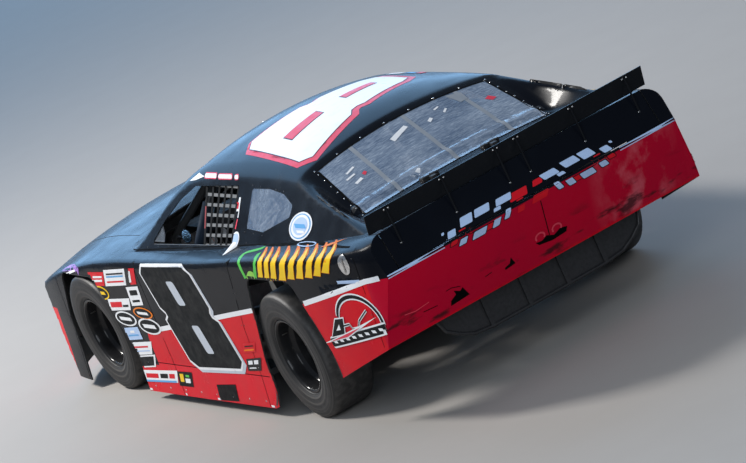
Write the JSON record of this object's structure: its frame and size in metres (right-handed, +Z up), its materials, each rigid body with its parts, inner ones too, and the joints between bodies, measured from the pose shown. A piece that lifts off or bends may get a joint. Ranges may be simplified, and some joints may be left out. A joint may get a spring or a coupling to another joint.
{
  "type": "stock car",
  "caption": "Full-size oval-track stock car: composite body panels on a tube frame with roll cage, steered front wheels, opening hood and boot lid.",
  "frame": {"origin": "on the ground, half way along the car on its centre plane", "axes": "+X forward, +Y to the car's left, +Z up"},
  "size_m": [5.05, 1.996, 1.2818],
  "materials": {
    "body_paint": "gloss",
    "polycarbonate": "scuffed",
    "tyre_rubber": "matte",
    "wheel_steel": "satin",
    "frame_paint": "satin",
    "bare_steel": "satin",
    "sheet_alloy": "satin",
    "engine_iron": "rough",
    "black_plastic": "matte",
    "webbing": "woven",
    "grip": "matte"
  },
  "bodies": {
    "car": {"control_arms": "frame_paint", "dashboard": "sheet_alloy", "door_left": "body_paint", "door_right": "body_paint", "driveshaft": "bare_steel", "engine": "engine_iron", "exhaust_pipes": "bare_steel", "fender_left": "body_paint", "fender_right": "body_paint", "floor_pan": "sheet_alloy", "frame_rails": "frame_paint", "front_clip": "frame_paint", "fuel_cell": "black_plastic", "gearbox": "sheet_alloy", "nose": "body_paint", "quarter_left": "body_paint", "quarter_right": "body_paint", "quarter_windows": "polycarbonate", "radiator": "sheet_alloy", "rear_axle": "frame_paint", "rear_bulkhead": "sheet_alloy", "rear_clip": "frame_paint", "rear_pan": "black_plastic", "rear_window": "polycarbonate", "roll_cage": "frame_paint", "roof": "body_paint", "seat": "sheet_alloy", "steering_column": "bare_steel", "struts": "bare_steel", "tail": "body_paint", "trailing_arms": "frame_paint", "window_net": "webbing", "windshield": "polycarbonate"},
    "hood": {"hood": "body_paint"},
    "deck_lid": {"deck_lid": "body_paint", "spoiler": "body_paint"},
    "knuckle_left": {"knuckle_left": "frame_paint"},
    "knuckle_right": {"knuckle_right": "frame_paint"},
    "steering_link": {"steering_link": "bare_steel"},
    "steering_wheel": {"steering_wheel": "grip"},
    "wheel_front_left": {"rim_front_left": "wheel_steel", "tyre_front_left": "tyre_rubber"},
    "wheel_front_right": {"rim_front_right": "wheel_steel", "tyre_front_right": "tyre_rubber"},
    "wheel_rear_left": {"rim_rear_left": "wheel_steel", "tyre_rear_left": "tyre_rubber"},
    "wheel_rear_right": {"rim_rear_right": "wheel_steel", "tyre_rear_right": "tyre_rubber"}
  },
  "joints": [
    {"name": "steer_left", "type": "hinge", "parent": "car", "child": "knuckle_left", "pos_m": [1.472, 0.66, 0.345], "axis": [0, 0, 1], "range_deg": [-20, 20]},
    {"name": "steer_right", "type": "hinge", "parent": "car", "child": "knuckle_right", "pos_m": [1.472, -0.66, 0.345], "axis": [0, 0, 1], "range_deg": [-20, 20]},
    {"name": "wheel_front_left_spin", "type": "hinge", "parent": "knuckle_left", "child": "wheel_front_left", "pos_m": [1.472, 0.826, 0.345], "axis": [0, 1, 0], "continuous": true},
    {"name": "wheel_front_right_spin", "type": "hinge", "parent": "knuckle_right", "child": "wheel_front_right", "pos_m": [1.472, -0.826, 0.345], "axis": [0, 1, 0], "continuous": true},
    {"name": "wheel_rear_left_spin", "type": "hinge", "parent": "car", "child": "wheel_rear_left", "pos_m": [-1.195, 0.826, 0.345], "axis": [0, 1, 0], "continuous": true},
    {"name": "wheel_rear_right_spin", "type": "hinge", "parent": "car", "child": "wheel_rear_right", "pos_m": [-1.195, -0.826, 0.345], "axis": [0, 1, 0], "continuous": true},
    {"name": "link_slide", "type": "slide", "parent": "car", "child": "steering_link", "axis": [0, 1, 0], "range_m": [-0.0489, 0.0489]},
    {"name": "steering_wheel_turn", "type": "hinge", "parent": "car", "child": "steering_wheel", "pos_m": [0.095, 0.4, 0.8], "axis": [-0.9673, 0, 0.2537], "range_deg": [-240, 240]},
    {"name": "hood_open", "type": "hinge", "parent": "car", "child": "hood", "pos_m": [0.9275, 0, 0.884], "axis": [0, -1, 0], "range_deg": [0, 60]},
    {"name": "deck_lid_open", "type": "hinge", "parent": "car", "child": "deck_lid", "pos_m": [-1.8975, 0, 0.984], "axis": [0, 1, 0], "range_deg": [0, 65]}
  ],
  "couplings": [
    {"joint": "steer_right", "follows": "steer_left", "ratio": 1},
    {"joint": "link_slide", "follows": "steer_left", "m_per_rad": 0.14},
    {"joint": "steering_wheel_turn", "follows": "steer_left", "ratio": 12}
  ]
}
